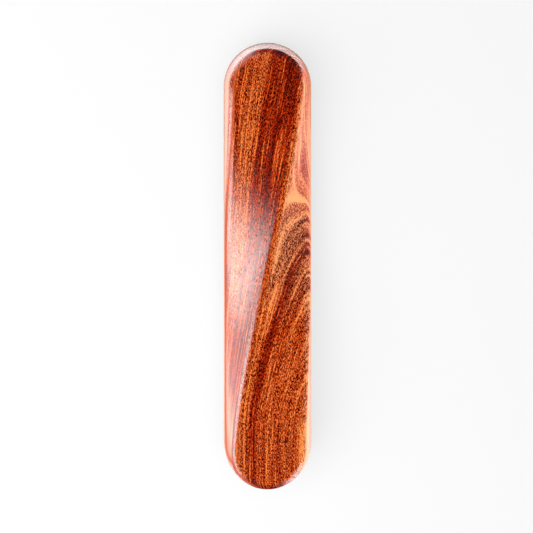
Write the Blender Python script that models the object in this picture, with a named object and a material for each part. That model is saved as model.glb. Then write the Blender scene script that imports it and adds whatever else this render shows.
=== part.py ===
"""Wood edge slicker: one solid bar of hardwood for rubbing leather edges smooth.

The bar is a stadium-shaped slab with softly swollen side walls. Its broad faces make a quarter turn from
one end to the other, so a rounded crest crosses the top from one long side to the other, and a second crest
does the same underneath. Metres, +Z up, long axis on Y, origin under the middle of the bar on the plane
it rests on.
"""

import math

import bmesh
import bpy
import numpy as np

# Driving dimensions
LENGTH = 0.1515
WIDTH = 0.0300
THICKNESS = 0.0200
WALL_SWELL = 0.0025  # how far the walls stand out at half height, against their rims
CREST_REACH = 0.0119  # how far from the middle the crest lies at the two ends
STEEPEST_TILT = math.radians(66.0)  # of a face at the end where it has become a side
TILT_POWER = 1.35  # above 1 the faces turn slowly at first and faster near their steep end
EDGE_ROUNDING = 0.0012

# Sizes that follow from them
END_RADIUS = WIDTH / 2
SPINE_HALF = LENGTH / 2 - END_RADIUS
HALF_HEIGHT = THICKNESS / 2

# Mesh resolution
FACE_STEPS = 10  # across each broad face, even so that one line runs down its middle
WALL_STEPS = 6
STATIONS = 27  # cross-sections along the straight part
END_STEPS = 14  # around each half-round end
EDGE_SEARCH_STEPS = 12
CAST_STEPS = 40

WOOD_COLOUR = (0.40, 0.085, 0.018, 1.0)
WOOD_ROUGHNESS = 0.35


def turn(y):
    """Share of the quarter turn done at y: 0 at the +Y end, 1 at the -Y end, level in both rounded ends."""
    t = np.clip((SPINE_HALF - y) / (2 * SPINE_HALF), 0.0, 1.0)
    eased = t * t * (3 - 2 * t)
    return (t + eased) / 2


def crest_x(y):
    return CREST_REACH * (1 - 2 * turn(y))


def tilts(y):
    """Tilt of the top face left of the crest, and of the one right of it."""
    done = turn(y)
    return STEEPEST_TILT * done**TILT_POWER, STEEPEST_TILT * (1 - done) ** TILT_POWER


def wall_reach(z):
    """Half width of the bar between its walls at height z above its middle."""
    return END_RADIUS - WALL_SWELL * (z / HALF_HEIGHT) ** 2


def beyond_crest_faces(x, y, z):
    """Signed distances past the two faces that meet in the top crest."""
    left_tilt, right_tilt = tilts(y)
    up = z - HALF_HEIGHT
    across = x - crest_x(y)
    left = up * np.cos(left_tilt) - across * np.sin(left_tilt)
    right = up * np.cos(right_tilt) + across * np.sin(right_tilt)
    return left, right


def beyond_body(x, y, z):
    """Above zero outside the bar, below zero inside it; every edge between two faces is rounded."""
    from_spine = np.hypot(x, np.maximum(np.abs(y) - SPINE_HALF, 0.0))
    faces = [from_spine - wall_reach(z)]
    faces += beyond_crest_faces(x, y, z)
    faces += beyond_crest_faces(-x, y, -z)  # the underside is the top turned over about the long axis
    squares = sum(np.maximum(face + EDGE_ROUNDING, 0.0) ** 2 for face in faces)
    return np.sqrt(squares) - EDGE_ROUNDING


def face_edge_height(reach, tilt):
    """Height at which a face that drops outwards over `reach` plus the wall's half width meets the wall."""
    z = HALF_HEIGHT
    for _ in range(EDGE_SEARCH_STEPS):
        z = HALF_HEIGHT - math.tan(tilt) * (reach + wall_reach(z))
    return z


def section_corners(y):
    """Corners (x, z) of the cross-section at y before rounding, from the top crest leftwards and round."""
    crest = crest_x(y)
    left_tilt, right_tilt = tilts(y)
    left = face_edge_height(crest, left_tilt)
    right = face_edge_height(-crest, right_tilt)
    top = [(crest, HALF_HEIGHT), (-wall_reach(left), left), (-wall_reach(right), -right)]
    return top + [(-x, -z) for x, z in top]


def section_guide(y):
    """Points around the unrounded cross-section, closer together towards its corners."""
    corners = section_corners(y)
    points = []
    for i, start in enumerate(corners):
        end = corners[(i + 1) % len(corners)]
        steps = WALL_STEPS if i % 3 == 1 else FACE_STEPS
        for k in range(steps):
            share = (1 - math.cos(math.pi * k / steps)) / 2
            points.append([start[0] + (end[0] - start[0]) * share, start[1] + (end[1] - start[1]) * share])
    return np.array(points)


def cast(origin_y, guide):
    """Moves guide points along lines from the spine at origin_y on to the rounded surface."""
    inside = np.full(len(guide), 0.3)
    outside = np.full(len(guide), 1.5)
    for _ in range(CAST_STEPS):
        middle = (inside + outside) / 2
        x, y, z = (guide * middle[:, None]).T
        out = beyond_body(x, y + origin_y, z) > 0
        outside = np.where(out, middle, outside)
        inside = np.where(out, inside, middle)
    return guide * inside[:, None] + np.array([0.0, origin_y, 0.0])


def add_ring(mesh, y):
    guide = section_guide(y)
    points = cast(y, np.column_stack([guide[:, 0], np.zeros(len(guide)), guide[:, 1]]))
    return [mesh.verts.new(point + np.array([0.0, 0.0, HALF_HEIGHT])) for point in points]


def join_rows(mesh, row, following):
    for i in range(len(row) - 1):
        corners = [row[i], row[i + 1], following[i + 1], following[i]]
        mesh.faces.new(list(dict.fromkeys(corners)))  # at a pole the two rows share a vertex


def add_end(mesh, ring, end):
    """Closes one end (+1 or -1): half cross-sections swept round the spine's end from one side to the other."""
    half = len(ring) // 2
    pole = FACE_STEPS // 2 if end > 0 else len(ring) - FACE_STEPS // 2
    guide = section_guide(end * SPINE_HALF)
    from_pole = [(pole - end * i) % len(ring) for i in range(half + 1)]
    to_pole = [(pole + end * i) % len(ring) for i in range(half + 1)]
    row = [ring[i] for i in from_pole]
    for step in range(1, END_STEPS):
        share = step / END_STEPS
        mixed = guide[from_pole] * (1 - share) * [end, 1] + guide[to_pole] * share * [-end, 1]
        angle = math.pi * share
        along = np.column_stack([mixed[:, 0] * math.cos(angle), mixed[:, 0] * math.sin(angle), mixed[:, 1]])
        points = cast(end * SPINE_HALF, along * [end, end, 1])
        inner = [mesh.verts.new(point + np.array([0.0, 0.0, HALF_HEIGHT])) for point in points[1:-1]]
        following = [row[0]] + inner + [row[-1]]
        join_rows(mesh, row, following)
        row = following
    join_rows(mesh, row, [ring[i] for i in to_pole])


def wood():
    material = bpy.data.materials.new("polished_hardwood")
    material.use_nodes = True
    shader = material.node_tree.nodes["Principled BSDF"]
    shader.inputs["Base Color"].default_value = WOOD_COLOUR
    shader.inputs["Roughness"].default_value = WOOD_ROUGHNESS
    shader.inputs["Metallic"].default_value = 0.0
    return material


def slicker_body(collection):
    mesh = bmesh.new()
    rings = [add_ring(mesh, y) for y in np.linspace(SPINE_HALF, -SPINE_HALF, STATIONS)]
    for ring, following in zip(rings, rings[1:]):
        join_rows(mesh, ring + ring[:1], following + following[:1])
    add_end(mesh, rings[0], 1)
    add_end(mesh, rings[-1], -1)
    bmesh.ops.recalc_face_normals(mesh, faces=mesh.faces)
    data = bpy.data.meshes.new("slicker_body")
    mesh.to_mesh(data)
    mesh.free()
    data.shade_smooth()
    data.materials.append(wood())
    body = bpy.data.objects.new("slicker_body", data)
    collection.objects.link(body)
    return body


def main():
    for leftover in list(bpy.data.objects):
        bpy.data.objects.remove(leftover, do_unlink=True)
    collection = bpy.data.collections.new("wood_edge_slicker")
    bpy.context.scene.collection.children.link(collection)
    slicker_body(collection)


main()
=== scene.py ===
"""Looks of the wood edge slicker: the finished bar of red-brown ribbon-figured hardwood on a white table."""

import math

import bmesh
import bpy
import numpy as np
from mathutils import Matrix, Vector


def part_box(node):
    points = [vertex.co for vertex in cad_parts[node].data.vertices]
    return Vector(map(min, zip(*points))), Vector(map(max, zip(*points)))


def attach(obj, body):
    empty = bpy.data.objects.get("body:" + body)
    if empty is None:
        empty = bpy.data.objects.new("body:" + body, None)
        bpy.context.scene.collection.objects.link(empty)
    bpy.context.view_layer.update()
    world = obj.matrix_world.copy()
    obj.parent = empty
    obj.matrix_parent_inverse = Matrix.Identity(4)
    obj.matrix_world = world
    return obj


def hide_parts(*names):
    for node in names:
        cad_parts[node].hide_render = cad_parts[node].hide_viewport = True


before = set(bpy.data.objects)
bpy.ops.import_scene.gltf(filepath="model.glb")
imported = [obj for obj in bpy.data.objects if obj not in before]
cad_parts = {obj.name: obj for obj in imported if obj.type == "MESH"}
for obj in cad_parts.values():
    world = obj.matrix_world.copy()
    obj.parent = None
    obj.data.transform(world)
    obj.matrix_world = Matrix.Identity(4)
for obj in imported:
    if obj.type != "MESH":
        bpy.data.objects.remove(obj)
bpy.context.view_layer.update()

# Sizes of the bar, read from the CAD node, in metres
LOW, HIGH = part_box("slicker_body")
WIDTH, LENGTH, THICKNESS = HIGH - LOW
END_RADIUS = WIDTH / 2
SPINE_HALF = LENGTH / 2 - END_RADIUS
HALF_HEIGHT = THICKNESS / 2

# The bar's form, as in the CAD
WALL_SWELL = 0.0025
CREST_REACH = 0.0119
STEEPEST_TILT = math.radians(66.0)
TILT_POWER = 1.35
EDGE_ROUNDING = 0.0012  # between two faces
WALL_ROUNDING = 0.0022  # how far from the wall a face begins to curve down to it

# A painted red line along the left edge, where its reflection falls away: no finish there and the wood
# painted red; placed by the wall's share in the edge's rounding
EDGE_LINE_CENTRES = (0.77, 0.42)  # below and above these places along the bar
EDGE_LINE_TURNS = (0.020, 0.055)
EDGE_LINE_SPREAD = 0.26

# Resolution of the finished surface
FACE_STEPS = 48
WALL_STEPS = 24
STATIONS = 261
END_STEPS = 72
EDGE_SEARCH_STEPS = 12
CAST_STEPS = 34


# ---------------------------------------------------------------- form

def turn(y):
    """Share of the quarter turn done at y: 0 at the +Y end, 1 at the -Y end, level in both rounded ends."""
    t = np.clip((SPINE_HALF - y) / (2 * SPINE_HALF), 0.0, 1.0)
    eased = t * t * (3 - 2 * t)
    return (t + eased) / 2


def crest_x(y):
    return CREST_REACH * (1 - 2 * turn(y))


def tilts(y):
    """Tilt of the top face left of the crest, and of the one right of it."""
    done = turn(y)
    return STEEPEST_TILT * done**TILT_POWER, STEEPEST_TILT * (1 - done) ** TILT_POWER


def wall_reach(z):
    """Half width between the swollen walls at height z above the bar's middle."""
    return END_RADIUS - WALL_SWELL * (z / HALF_HEIGHT) ** 2


def beyond_crest_faces(x, y, z):
    """Signed distances past the two faces that meet in the top crest."""
    left_tilt, right_tilt = tilts(y)
    up = z - HALF_HEIGHT
    across = x - crest_x(y)
    left = up * np.cos(left_tilt) - across * np.sin(left_tilt)
    right = up * np.cos(right_tilt) + across * np.sin(right_tilt)
    return left, right


def beyond_faces(x, y, z):
    """Signed distances past the wall, the two top faces and the two bottom faces."""
    from_spine = np.hypot(x, np.maximum(np.abs(y) - SPINE_HALF, 0.0))
    faces = [from_spine - wall_reach(z)]
    faces += beyond_crest_faces(x, y, z)
    faces += beyond_crest_faces(-x, y, -z)  # the underside is the top turned over about the long axis
    return faces


def rounding_shares(x, y, z):
    """How much the wall and each face take part in a rounded edge; on the surface they add up to 1."""
    reaches = [WALL_ROUNDING] + [EDGE_ROUNDING] * 4
    return [np.maximum(face / reach + 1.0, 0.0) ** 2 for face, reach in zip(beyond_faces(x, y, z), reaches)]


def beyond_body(x, y, z):
    """Above zero outside the bar, below zero inside it; every edge between two faces is rounded."""
    return sum(rounding_shares(x, y, z)) - 1.0


def painted_edge_line_mask(x, y, z):
    """Mask of the painted edge line: 0 on the faces and the wall, 1 along the line where the wall has just
    turned into a rounded edge.
    """
    shares = rounding_shares(x, y, z)
    wall_part = np.sqrt(shares[0] / np.maximum(sum(shares), 0.01))
    centre = np.interp(y, EDGE_LINE_TURNS, EDGE_LINE_CENTRES)
    return np.clip(1.0 - np.abs(wall_part - centre) / EDGE_LINE_SPREAD, 0.0, 1.0)


def face_edge_height(reach, tilt):
    """Height at which a face that drops outwards over `reach` plus the wall's half width meets the wall."""
    z = HALF_HEIGHT
    for _ in range(EDGE_SEARCH_STEPS):
        z = HALF_HEIGHT - math.tan(tilt) * (reach + wall_reach(z))
    return z


def section_guide(y):
    """Points (x, z) round the unrounded section at y, from the top crest leftwards, closer at corners."""
    crest = crest_x(y)
    left_tilt, right_tilt = tilts(y)
    left = face_edge_height(crest, left_tilt)
    right = face_edge_height(-crest, right_tilt)
    top = [(crest, HALF_HEIGHT), (-wall_reach(left), left), (-wall_reach(right), -right)]
    corners = top + [(-x, -z) for x, z in top]
    points = []
    for i, start in enumerate(corners):
        end = corners[(i + 1) % len(corners)]
        steps = WALL_STEPS if i % 3 == 1 else FACE_STEPS
        for k in range(steps):
            share = (1 - math.cos(math.pi * k / steps)) / 2
            points.append([start[0] + (end[0] - start[0]) * share, start[1] + (end[1] - start[1]) * share])
    return np.array(points)


def cast(origin_y, guide):
    """Moves guide points along lines from the spine at origin_y on to the rounded surface."""
    inside = np.full(len(guide), 0.3)
    outside = np.full(len(guide), 1.5)
    for _ in range(CAST_STEPS):
        middle = (inside + outside) / 2
        x, y, z = (guide * middle[:, None]).T
        out = beyond_body(x, y + origin_y, z) > 0
        outside = np.where(out, middle, outside)
        inside = np.where(out, inside, middle)
    return guide * inside[:, None] + np.array([0.0, origin_y, HALF_HEIGHT])


def add_ring(mesh, y):
    guide = section_guide(y)
    points = cast(y, np.column_stack([guide[:, 0], np.zeros(len(guide)), guide[:, 1]]))
    return [mesh.verts.new(point) for point in points]


def join_rows(mesh, row, following):
    for i in range(len(row) - 1):
        corners = [row[i], row[i + 1], following[i + 1], following[i]]
        mesh.faces.new(list(dict.fromkeys(corners)))  # at a pole the two rows share a vertex


def add_end(mesh, ring, end):
    """Closes one end (+1 or -1): half sections swept round the spine's end from one side to the other."""
    half = len(ring) // 2
    pole = FACE_STEPS // 2 if end > 0 else len(ring) - FACE_STEPS // 2
    guide = section_guide(end * SPINE_HALF)
    from_pole = [(pole - end * i) % len(ring) for i in range(half + 1)]
    to_pole = [(pole + end * i) % len(ring) for i in range(half + 1)]
    row = [ring[i] for i in from_pole]
    for step in range(1, END_STEPS):
        share = step / END_STEPS
        mixed = guide[from_pole] * (1 - share) * [end, 1] + guide[to_pole] * share * [-end, 1]
        angle = math.pi * share
        along = np.column_stack([mixed[:, 0] * math.cos(angle), mixed[:, 0] * math.sin(angle), mixed[:, 1]])
        points = cast(end * SPINE_HALF, along * [end, end, 1])
        following = [row[0]] + [mesh.verts.new(point) for point in points[1:-1]] + [row[-1]]
        join_rows(mesh, row, following)
        row = following
    join_rows(mesh, row, [ring[i] for i in to_pole])


def finished_bar():
    mesh = bmesh.new()
    rings = [add_ring(mesh, y) for y in np.linspace(SPINE_HALF, -SPINE_HALF, STATIONS)]
    for ring, following in zip(rings, rings[1:]):
        join_rows(mesh, ring + ring[:1], following + following[:1])
    add_end(mesh, rings[0], 1)
    add_end(mesh, rings[-1], -1)
    bmesh.ops.recalc_face_normals(mesh, faces=mesh.faces)
    data = bpy.data.meshes.new("finished_bar")
    mesh.to_mesh(data)
    mesh.free()
    data.shade_smooth()
    places = np.array([vertex.co for vertex in data.vertices])
    # mask of the painted red line along the left edge, where its reflection falls away
    painted_edge_line = painted_edge_line_mask(places[:, 0], places[:, 1], places[:, 2] - HALF_HEIGHT)
    data.attributes.new("painted_edge_line", "FLOAT", "POINT").data.foreach_set("value", painted_edge_line)
    bar = bpy.data.objects.new("finished_bar", data)
    bpy.context.scene.collection.objects.link(bar)
    return bar


# ---------------------------------------------------------------- node helpers

class Nodes:
    """Builds a node tree; every method returns an output socket, or a few of them."""

    def __init__(self, tree):
        self.tree = tree

    def add(self, kind, inputs=None, output=0, **settings):
        node = self.tree.nodes.new(kind)
        for name, value in settings.items():
            setattr(node, name, value)
        for key, value in (inputs or {}).items():
            self.feed(node.inputs[key], value)
        return node.outputs[output]

    def feed(self, socket, value):
        if isinstance(value, bpy.types.NodeSocket):
            self.tree.links.new(value, socket)
        else:
            socket.default_value = value

    def math(self, operation, a, b=0.0, c=0.0):
        return self.add("ShaderNodeMath", {0: a, 1: b, 2: c}, operation=operation)

    def times(self, first, *others):
        for other in others:
            first = self.math("MULTIPLY", first, other)
        return first

    def add_times(self, onto, value, amount):
        return self.math("MULTIPLY_ADD", value, amount, onto)

    def swing(self, onto, value, amount):
        """Adds a noise around its middle value."""
        return self.add_times(onto, self.math("SUBTRACT", value, 0.5), amount)

    def ramp(self, value, low, high):
        """0 below low, 1 above high, smooth in between."""
        inputs = {"Value": value, "From Min": low, "From Max": high, "To Min": 0.0, "To Max": 1.0}
        return self.add("ShaderNodeMapRange", inputs, interpolation_type="SMOOTHSTEP")

    def window(self, value, low, high, low_edge, high_edge):
        """1 between low and high, falling to 0 over the given edges outside them."""
        rising = self.ramp(value, low - low_edge, low)
        falling = self.ramp(value, high + high_edge, high)
        return self.times(rising, falling)

    def colours(self, value, stops):
        """A colour ramp through (position, colour) stops."""
        node = self.tree.nodes.new("ShaderNodeValToRGB")
        self.feed(node.inputs[0], value)
        elements = node.color_ramp.elements
        while len(elements) < len(stops):
            elements.new(1.0)
        for element, (position, colour) in zip(elements, stops):
            element.position = position
            element.color = (*colour, 1)
        return node.outputs[0]

    def mix(self, factor, a, b):
        """A colour between a and b. Its sockets are given by number, as the node repeats their names."""
        return self.add("ShaderNodeMix", {"Factor": factor, 6: a, 7: b}, output=2, data_type="RGBA")

    def split(self, vector):
        node = self.tree.nodes.new("ShaderNodeSeparateXYZ")
        self.feed(node.inputs[0], vector)
        return node.outputs


# ---------------------------------------------------------------- wood

MM = 1000.0  # the wood is laid out in millimetres
LAYER_SLANT = 1.13  # how far a growth layer shifts across for each unit it rises
GRAIN_LEAN = 0.20  # sideways drift of the grain along the bar
LEAN_STOPS = -48.0  # the grain runs straight below this place along the bar
LEAN_BEND = 10.0
LAYERS_BEND = 2.0  # how far the layers wander from their even places

# Places across the layers and how light the wood is there
LAYERS_FROM, LAYERS_TO = -18.0, 34.0
LAYERS = (
    (-14.5, 0.56),
    (-11.2, 0.56),
    (-9.2, 0.38),
    (-6.8, 0.80),
    (-5.2, 0.70),
    (-3.0, 0.82),
    (-0.3, 0.13),
    (2.0, 0.40),
    (4.9, 0.02),
    (7.1, 0.36),
    (9.2, 0.10),
    (11.3, 0.72),
    (13.4, 0.74),
    (15.9, 0.08),
    (17.4, 0.60),
    (19.2, 0.46),
    (21.2, 0.70),
    (23.2, 0.50),
    (25.2, 0.58),
    (27.6, 0.68),
    (29.4, 0.54),
    (31.6, 0.85),
)

# How often each kind of figure repeats in a millimetre: across the fibres, along them and up
WANDER = (0.11, 0.035, 0.05)
STREAKS = (0.8, 0.02, 0.0)
LINES = (1.5, 0.04, 0.0)
MOTTLE = (4.6, 1.35, 4.6)
PATCHES = (0.5, 0.16, 0.5)
PORES = (1.25, 0.42, 1.25)

# How much each kind of figure lightens or darkens the wood, whose tone runs from 0 to 1
BASE_TONE = 0.21
LAYER_SWING = 0.50
STREAK_SWING = 0.5
LINE_SWING = 1.8
PATCH_SWING = 0.2
MOTTLE_SWING = 5.5
THREAD_LIGHTENING = 0.32
PORE_DARKENING = 0.22

# How light the lightest fibres are in the darkest layer, how much lighter they get in the lightest one, and
# how softly they stop there
LIGHTEST_FIBRE = 0.50
LIGHTEST_SWING = 0.72
LIGHTEST_BEND = 0.12

# Where the surface turns away from the fibres, and light and shade painted by which way the surface faces
STEEP_LOSS = 0.6  # of the fibres and pores, on faces cut along the layers
# painted sheen: the light tone that the upper sides are drawn to, where the softboxes' sheen falls on them
SIDE_SHEEN_TONE = 0.65
SIDE_SHEEN_PULL = 0.5  # painted sheen: how far the upper sides are drawn to that light tone
# painted light on the right edge and the right-facing slope, where the side light falls
RIGHT_EDGE_PAINTED_LIGHT = 0.18
RIGHT_SLOPE_PAINTED_LIGHT = 0.07
# darker tips: end grain, with painted shade where little light reaches the ends
END_GRAIN_AND_SHADE = 0.29

# Linear colours of the wood from its darkest to its lightest
TONES = (
    (0.00, (0.012, 0.0002, 0.0001)),
    (0.20, (0.045, 0.0004, 0.0001)),
    (0.35, (0.125, 0.0018, 0.0001)),
    (0.50, (0.345, 0.0095, 0.0002)),
    (0.65, (0.660, 0.0400, 0.0012)),
    (0.80, (0.920, 0.1080, 0.0070)),
    (1.00, (1.000, 0.2900, 0.0600)),
)
# Pale colour painted as sheen: glints on the right faces' light fibres, and the floor's reflection on the
# left edge
PAINTED_SHEEN_COLOUR = (0.95, 0.42, 0.17, 1)
PAINTED_GLINT_SHARE = 0.65  # share of the painted sheen colour on the light streaks of the right faces, standing in for their glints
# share of the painted sheen colour on the upper left edge, a painted reflection of the pale floor
LEFT_EDGE_PAINTED_REFLECTION = 0.6
# Painted red line along the left edge where its reflection falls away, and how fully it replaces the wood's
# colour and finish
PAINTED_EDGE_LINE_COLOUR = (0.60, 0.085, 0.020, 1)
PAINTED_EDGE_LINE_STRENGTH = 0.95

# The fibres' own broad shine, and the clear finish over them
FIBRE_TINT = (1.0, 0.25, 0.08, 1)
FIBRE_SHINE = 0.20
FIBRE_ROUGHNESS = 0.34
FINISH_IOR = 1.5
FINISH_ROUGHNESS = 0.13
FINISH_UNEVENNESS = 0.20
DULL_FIBRES = 0.15  # loss of finish on dark fibres
DULL_RIGHT = 0.30  # and how much more of it on the right faces
DULL_PORES = 0.6
PORE_DEPTH = 0.00002
MOTTLE_HEIGHT = 1.2  # against the pores' depth


class Grain:
    """Millimetre places in the wood, the noises its parts share, and which way the surface faces."""

    def __init__(self, nodes):
        self.nodes = nodes
        spot = nodes.add("ShaderNodeTexCoord", output="Object")
        spot = nodes.add("ShaderNodeVectorMath", {0: spot, "Scale": MM}, operation="SCALE")
        x, self.along, z = nodes.split(spot)
        self.up = nodes.math("SUBTRACT", z, HALF_HEIGHT * MM)
        leaning = nodes.math("SMOOTH_MAX", self.along, LEAN_STOPS, LEAN_BEND)
        self.across = nodes.add_times(x, leaning, -GRAIN_LEAN)
        layers = nodes.add_times(self.across, self.up, LAYER_SLANT)
        self.layers = nodes.swing(layers, self.noise(layers, WANDER), LAYERS_BEND)
        self.lines = self.noise(self.layers, LINES, roughness=0.7)
        self.mottle = self.noise(self.across, MOTTLE, roughness=0.8)

        normal = nodes.add("ShaderNodeNewGeometry", output="Normal")
        self.facing_x, self.facing_y, facing_z = nodes.split(normal)
        self.facing_up = nodes.ramp(facing_z, 0.0, 0.2)
        self.leaning_right = nodes.ramp(self.facing_x, 0.2, 0.5)
        steep = nodes.ramp(nodes.math("ABSOLUTE", self.facing_x), 0.5, 0.75)
        self.fibres = nodes.add_times(1.0, steep, -STEEP_LOSS)

    def stretched(self, place, scales):
        """Coordinates for a noise, from a place across the fibres."""
        parts = zip((place, self.along, self.up), scales)
        x, y, z = [self.nodes.times(part, scale) for part, scale in parts]
        return self.nodes.add("ShaderNodeCombineXYZ", {0: x, 1: y, 2: z})

    def noise(self, place, scales, roughness=0.5):
        where = self.stretched(place, scales)
        inputs = {"Vector": where, "Scale": 1.0, "Detail": 2.0, "Roughness": roughness}
        return self.nodes.add("ShaderNodeTexNoise", inputs)


def figure(nodes, wood):
    """How light the wood is from its layers, streaks and fibres."""
    span = LAYERS_TO - LAYERS_FROM
    place = nodes.math("DIVIDE", nodes.math("SUBTRACT", wood.layers, LAYERS_FROM), span)
    stops = [((at - LAYERS_FROM) / span, (light, light, light)) for at, light in LAYERS]
    layers = nodes.colours(place, stops)
    tone = nodes.add_times(BASE_TONE, layers, LAYER_SWING)
    tone = nodes.swing(tone, wood.noise(wood.layers, STREAKS), STREAK_SWING)
    tone = nodes.swing(tone, wood.lines, LINE_SWING)
    tone = nodes.swing(tone, wood.noise(wood.across, PATCHES), PATCH_SWING)
    tone = nodes.swing(tone, wood.mottle, nodes.times(wood.fibres, MOTTLE_SWING))
    lightest = nodes.add_times(LIGHTEST_FIBRE, layers, LIGHTEST_SWING)
    return nodes.math("SMOOTH_MIN", tone, lightest, LIGHTEST_BEND)


def painted_light_by_facing(nodes, wood, tone):
    """Paints light and shade by facing: a painted sheen evens the upper sides towards a light tone, painted
    light lightens the right slope and edge, and the two tips are darker from end grain and painted shade.
    """
    # painted sheen on the upper sides
    left_side = nodes.ramp(wood.facing_x, -0.55, -0.80)
    right_side = nodes.ramp(wood.facing_x, 0.60, 0.80)
    sides = nodes.times(nodes.math("MAXIMUM", left_side, right_side), SIDE_SHEEN_PULL, wood.facing_up)
    tone = nodes.add_times(tone, nodes.math("SUBTRACT", SIDE_SHEEN_TONE, tone), sides)
    # painted light on the right edge and slope
    right_edge_light = nodes.times(nodes.ramp(wood.facing_x, 0.80, 0.97), wood.facing_up)
    tone = nodes.add_times(tone, right_edge_light, RIGHT_EDGE_PAINTED_LIGHT)
    tone = nodes.add_times(tone, nodes.ramp(wood.facing_x, 0.42, 0.62), RIGHT_SLOPE_PAINTED_LIGHT)
    # darker tips: end grain and painted shade
    end = nodes.ramp(nodes.math("ABSOLUTE", wood.facing_y), 0.05, 0.45)
    tips = nodes.times(end, nodes.ramp(nodes.math("ABSOLUTE", wood.facing_x), 0.55, 0.15))
    return nodes.add_times(tone, tips, -END_GRAIN_AND_SHADE)


def open_pores(nodes, wood):
    """Short dark dashes along the fibres, closer together in some layers than in others."""
    inputs = {"Vector": wood.stretched(wood.across, PORES), "Scale": 1.0, "Randomness": 1.0}
    distance = nodes.add("ShaderNodeTexVoronoi", inputs)
    outside = nodes.math("SUBTRACT", distance, nodes.times(wood.lines, 0.45))
    pore = nodes.math("SUBTRACT", 1.0, nodes.ramp(outside, -0.08, 0.06))
    return nodes.times(pore, wood.fibres)


def wood_colour(nodes, wood, tone, painted_edge_line):
    # painted glints on the light fibres of the right faces
    streaks = nodes.times(wood.leaning_right, nodes.ramp(tone, 0.48, 0.85), PAINTED_GLINT_SHARE)
    # painted reflection of the pale floor on the upper left edge
    left_edge_reflection = nodes.times(nodes.ramp(wood.facing_x, -0.80, -0.97), wood.facing_up, LEFT_EDGE_PAINTED_REFLECTION)
    colour = nodes.mix(nodes.math("MAXIMUM", streaks, left_edge_reflection), nodes.colours(tone, TONES), PAINTED_SHEEN_COLOUR)
    # the painted red edge line
    return nodes.mix(nodes.times(painted_edge_line, PAINTED_EDGE_LINE_STRENGTH), colour, PAINTED_EDGE_LINE_COLOUR)


def finish(nodes, wood, shader, tone, pore, painted_edge_line):
    """The fibres shine broadly and redly where they are seen square on, and the clear finish more sharply."""
    # no finish along the painted edge line
    kept = nodes.add_times(1.0, painted_edge_line, -PAINTED_EDGE_LINE_STRENGTH)
    aside = nodes.add("ShaderNodeLayerWeight", output="Facing")
    shine = nodes.times(nodes.ramp(aside, 0.55, 0.15), FIBRE_SHINE)
    nodes.feed(shader.inputs["Specular IOR Level"], nodes.times(kept, shine))
    nodes.feed(shader.inputs["Specular Tint"], FIBRE_TINT)
    nodes.feed(shader.inputs["Roughness"], FIBRE_ROUGHNESS)
    dark = nodes.math("SUBTRACT", 1.0, nodes.ramp(tone, 0.30, 0.55))
    dull = nodes.times(dark, nodes.add_times(DULL_FIBRES, wood.leaning_right, DULL_RIGHT))
    dull = nodes.math("MAXIMUM", dull, nodes.times(pore, DULL_PORES))
    nodes.feed(shader.inputs["Coat Weight"], nodes.times(kept, nodes.math("SUBTRACT", 1.0, dull)))
    nodes.feed(shader.inputs["Coat Roughness"], nodes.swing(FINISH_ROUGHNESS, wood.mottle, FINISH_UNEVENNESS))
    nodes.feed(shader.inputs["Coat IOR"], FINISH_IOR)


def hardwood():
    material = bpy.data.materials.new("polished_ribbon_hardwood")
    material.use_nodes = True
    nodes = Nodes(material.node_tree)
    shader = material.node_tree.nodes["Principled BSDF"]
    wood = Grain(nodes)

    tone = painted_light_by_facing(nodes, wood, figure(nodes, wood))
    threads = nodes.ramp(wood.lines, 0.56, 0.66)
    tone = nodes.add_times(tone, threads, THREAD_LIGHTENING)
    pore = open_pores(nodes, wood)
    tone = nodes.add_times(tone, pore, -PORE_DARKENING)

    # the painted edge line's mask, stored on the mesh
    painted_edge_line = nodes.add("ShaderNodeAttribute", output="Fac", attribute_name="painted_edge_line")
    painted_edge_line = nodes.times(painted_edge_line, nodes.ramp(wood.facing_x, -0.05, -0.20))  # the painted edge line goes only on the left edge
    nodes.feed(shader.inputs["Base Color"], wood_colour(nodes, wood, tone, painted_edge_line))
    finish(nodes, wood, shader, tone, pore, painted_edge_line)

    relief = nodes.add_times(nodes.times(wood.mottle, MOTTLE_HEIGHT), pore, -1.0)
    bump = nodes.add("ShaderNodeBump", {"Height": relief, "Strength": 1.0, "Distance": PORE_DEPTH})
    nodes.feed(shader.inputs["Normal"], bump)
    nodes.feed(shader.inputs["Coat Normal"], bump)
    return material


# ---------------------------------------------------------------- stage

TABLE_SIZE = 3.0
TABLE_DROP = 0.0001  # keeps the table just clear of the bar
TABLE_GLOW = 0.10
OPAL = (0.86, 0.86, 0.86, 1)
WHITE = (1, 1, 1, 1)

# Light from the room on matt surfaces
HORIZON_LIGHT = 5.0
ZENITH_LIGHT = 0.25
LEFT_LOSS = 0.50  # share of the side light that is missing on the left

# What the finish mirrors of the room: its pale floor, which is brighter on some sides
FLOOR_LEFT = 4.0
FLOOR_RIGHT = 1.1
FLOOR_FRONT = 1.5  # more than that on the right, towards the near end
FLOOR_BACK = 5.0
FLOOR_UNDERFOOT = 0.07  # share left of it straight below

# Softboxes and dark flats in the mirrored room, in degrees. Each has a bearing, which runs anticlockwise from
# +X, then how far it reaches sideways from there: low, high and their soft edges. A softbox has the same for
# its height; a flat goes all the way up from a lower edge that fades in between two heights.
BIG_SOFTBOX = (195.0, (-6.0, 42.0, 8.0, 8.0), (30.0, 40.0, 34.0, 28.0))
SMALL_SOFTBOX = (303.0, (-10.0, 10.0, 8.0, 8.0), (-5.0, 38.0, 8.0, 8.0))
BIG_SOFTBOX_LIGHT = 13.0
SMALL_SOFTBOX_LIGHT = 8.0
BACK_FLAT = (65.0, (-40.0, 40.0, 20.0, 20.0), (-30.0, -14.0))
FRONT_FLAT = (268.0, (-8.0, 8.0, 10.0, 10.0), (-80.0, -65.0))
FLAT_LOSS = 0.96  # share of the light that a flat holds back


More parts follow.
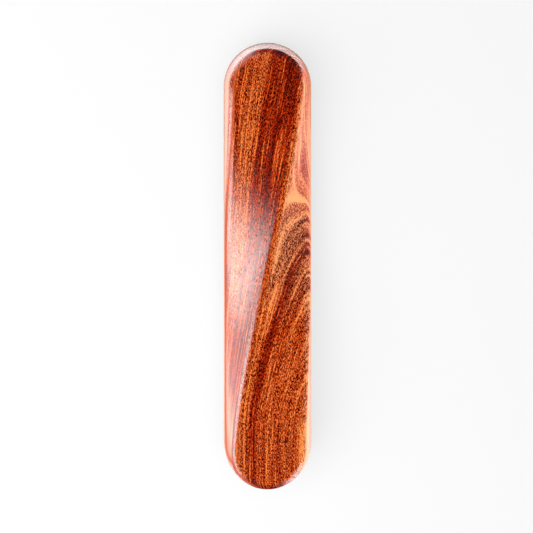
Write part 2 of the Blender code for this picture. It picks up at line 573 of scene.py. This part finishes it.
def table():
    """A sheet of opal glass, lit a little from below. Reflections show the room's pale lower half instead."""
    mesh = bmesh.new()
    bmesh.ops.create_grid(mesh, x_segments=1, y_segments=1, size=TABLE_SIZE / 2)
    data = bpy.data.meshes.new("table")
    mesh.to_mesh(data)
    mesh.free()

    material = bpy.data.materials.new("opal_table")
    material.use_nodes = True
    shader = material.node_tree.nodes["Principled BSDF"]
    shader.inputs["Base Color"].default_value = OPAL
    shader.inputs["Roughness"].default_value = 0.8
    shader.inputs["Specular IOR Level"].default_value = 0.0
    shader.inputs["Emission Color"].default_value = WHITE
    shader.inputs["Emission Strength"].default_value = TABLE_GLOW
    data.materials.append(material)

    sheet = bpy.data.objects.new("table", data)
    sheet.location.z = -TABLE_DROP
    sheet.visible_glossy = False
    bpy.context.scene.collection.objects.link(sheet)


def softbox(name, azimuth, elevation, distance, width, height, radiance):
    """A rectangular light aimed at the bar's middle. Azimuth runs anticlockwise from +X."""
    light = bpy.data.lights.new(name, "AREA")
    light.shape = "RECTANGLE"
    light.size = width
    light.size_y = height
    light.energy = radiance * math.pi * width * height
    lamp = bpy.data.objects.new(name, light)
    a, e = math.radians(azimuth), math.radians(elevation)
    away = Vector((math.cos(a) * math.cos(e), math.sin(a) * math.cos(e), math.sin(e)))
    lamp.location = away * distance
    lamp.rotation_euler = away.to_track_quat("Z", "Y").to_euler()
    lamp.visible_glossy = False
    bpy.context.scene.collection.objects.link(lamp)


class Directions:
    """Where a ray into the room goes: along x and y, and its height above the horizon in degrees."""

    def __init__(self, nodes):
        self.nodes = nodes
        self.x, self.y, z = nodes.split(nodes.add("ShaderNodeTexCoord", output="Generated"))
        self.height = nodes.math("DEGREES", nodes.math("ARCSINE", z))
        self.leftward = nodes.ramp(self.x, 0.2, -0.5)

    def sideways(self, bearing):
        """Degrees from the bearing."""
        c, s = math.cos(math.radians(bearing)), math.sin(math.radians(bearing))
        ahead = self.nodes.add_times(self.nodes.times(self.y, s), self.x, c)
        aside = self.nodes.add_times(self.nodes.times(self.x, -s), self.y, c)
        return self.nodes.math("DEGREES", self.nodes.math("ARCTAN2", aside, ahead))

    def inside(self, bearing, sides, heights):
        across = self.nodes.window(self.sideways(bearing), *sides)
        return self.nodes.times(across, self.nodes.window(self.height, *heights))

    def above(self, bearing, sides, lower_edge):
        across = self.nodes.window(self.sideways(bearing), *sides)
        return self.nodes.times(across, self.nodes.ramp(self.height, *lower_edge))


def mirrored_room(nodes, ray):
    """What the finish reflects: a pale floor, two softboxes and two dark flats, under a dark ceiling."""
    left = nodes.times(ray.leftward, nodes.math("POWER", nodes.ramp(ray.height, 55.0, -5.0), 2.0))
    right = nodes.times(nodes.math("SUBTRACT", 1.0, ray.leftward), nodes.ramp(ray.height, 30.0, -50.0))
    front = nodes.add_times(FLOOR_RIGHT, nodes.ramp(ray.y, -0.05, -0.28), FLOOR_FRONT)
    light = nodes.add_times(nodes.times(right, front), left, FLOOR_LEFT)
    light = nodes.add_times(light, nodes.ramp(ray.y, 0.05, 0.50), FLOOR_BACK)
    outward = nodes.ramp(ray.height, -85.0, -20.0)
    light = nodes.times(light, nodes.add_times(FLOOR_UNDERFOOT, outward, 1.0 - FLOOR_UNDERFOOT))
    light = nodes.add_times(light, ray.inside(*BIG_SOFTBOX), BIG_SOFTBOX_LIGHT)
    light = nodes.add_times(light, ray.inside(*SMALL_SOFTBOX), SMALL_SOFTBOX_LIGHT)
    flats = nodes.math("MAXIMUM", ray.above(*BACK_FLAT), ray.above(*FRONT_FLAT))
    return nodes.times(light, nodes.add_times(1.0, flats, -FLAT_LOSS))


def room():
    """What rays into the studio meet.

    Matt surfaces get a soft light, brightest from both sides near the horizon. The finish mirrors a designed
    room instead, and the camera sees plain white.
    """
    world = bpy.data.worlds.new("studio")
    world.use_nodes = True
    nodes = Nodes(world.node_tree)
    ray = Directions(nodes)
    sides = nodes.times(nodes.ramp(ray.height, 45.0, 5.0), nodes.times(ray.x, ray.x))
    sides = nodes.times(sides, nodes.add_times(1.0, ray.leftward, -LEFT_LOSS))
    soft = nodes.add_times(ZENITH_LIGHT, sides, HORIZON_LIGHT - ZENITH_LIGHT)
    polish = nodes.tree.nodes.new("ShaderNodeValue")
    polish.name = "polish"
    mirrored = nodes.times(mirrored_room(nodes, ray), polish.outputs[0])
    rays = nodes.tree.nodes.new("ShaderNodeLightPath")
    colour = nodes.mix(rays.outputs["Is Glossy Ray"], soft, mirrored)
    colour = nodes.mix(rays.outputs["Is Camera Ray"], colour, WHITE)
    nodes.feed(world.node_tree.nodes["Background"].inputs["Color"], colour)
    world.cycles.sampling_method = "NONE"
    bpy.context.scene.world = world
    return world


# ---------------------------------------------------------------- camera

CAMERA_HEIGHT = 0.321  # above the bar's middle plane
CAMERA_ADVANCE = 0.0725  # the camera stands over the bar's far end
FRAME_WIDTH = 0.1834  # what the picture spans at the bar's middle plane
BAR_OFFSET = (0.00034, 0.0012)  # of the bar's middle from the picture's middle
SENSOR = 36.0
AT_MARK = 0.0001  # a camera nearer than this to its mark stands at it
POLISH_AT_MARK = 1.0  # strength of the mirrored room there
POLISH_ELSEWHERE = 0.35  # low views would otherwise mirror its floor as plain white


def at_viewpoint(owner, path, eye, mark, value, elsewhere):
    """Gives a property one value while the camera stands at the mark, and another elsewhere."""
    curve = owner.driver_add(path)
    curve.driver.type = "AVERAGE"
    moved = curve.driver.variables.new()
    moved.type = "LOC_DIFF"
    moved.targets[0].id = eye
    moved.targets[1].id = mark
    while curve.modifiers:
        curve.modifiers.remove(curve.modifiers[0])
    curve.keyframe_points.add(2)
    for point, spot in zip(curve.keyframe_points, ((0.0, value), (AT_MARK, elsewhere))):
        point.co = spot
        point.interpolation = "CONSTANT"


def camera(studio):
    """Looks straight down from over the bar's far end, with the lens shifted so that the bar is centred.

    The shift and the full strength of the studio's reflections hold only while the camera stands here.
    """
    data = bpy.data.cameras.new("viewpoint")
    data.sensor_width = SENSOR
    data.lens = SENSOR * CAMERA_HEIGHT / FRAME_WIDTH
    eye = bpy.data.objects.new("viewpoint", data)
    eye.location = (-BAR_OFFSET[0], CAMERA_ADVANCE - BAR_OFFSET[1], CAMERA_HEIGHT + HALF_HEIGHT)
    bpy.context.scene.collection.objects.link(eye)
    mark = bpy.data.objects.new("viewpoint_mark", None)
    mark.location = eye.location
    bpy.context.scene.collection.objects.link(mark)
    at_viewpoint(data, "shift_y", eye, mark, -CAMERA_ADVANCE / FRAME_WIDTH, 0.0)
    polish = 'nodes["polish"].outputs[0].default_value'
    at_viewpoint(studio.node_tree, polish, eye, mark, POLISH_AT_MARK, POLISH_ELSEWHERE)
    bpy.context.scene.camera = eye


# ---------------------------------------------------------------- scene

bar = finished_bar()
bar.data.materials.append(hardwood())
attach(bar, "root")
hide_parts("slicker_body")
bar.visible_diffuse = False  # the red wood doesn't tint the white table

table()
softbox("key", azimuth=205, elevation=35, distance=0.62, width=0.70, height=0.60, radiance=0.9)
softbox("overhead", azimuth=200, elevation=80, distance=0.8, width=1.2, height=1.2, radiance=0.85)
camera(room())
bpy.context.scene.view_settings.view_transform = "Standard"
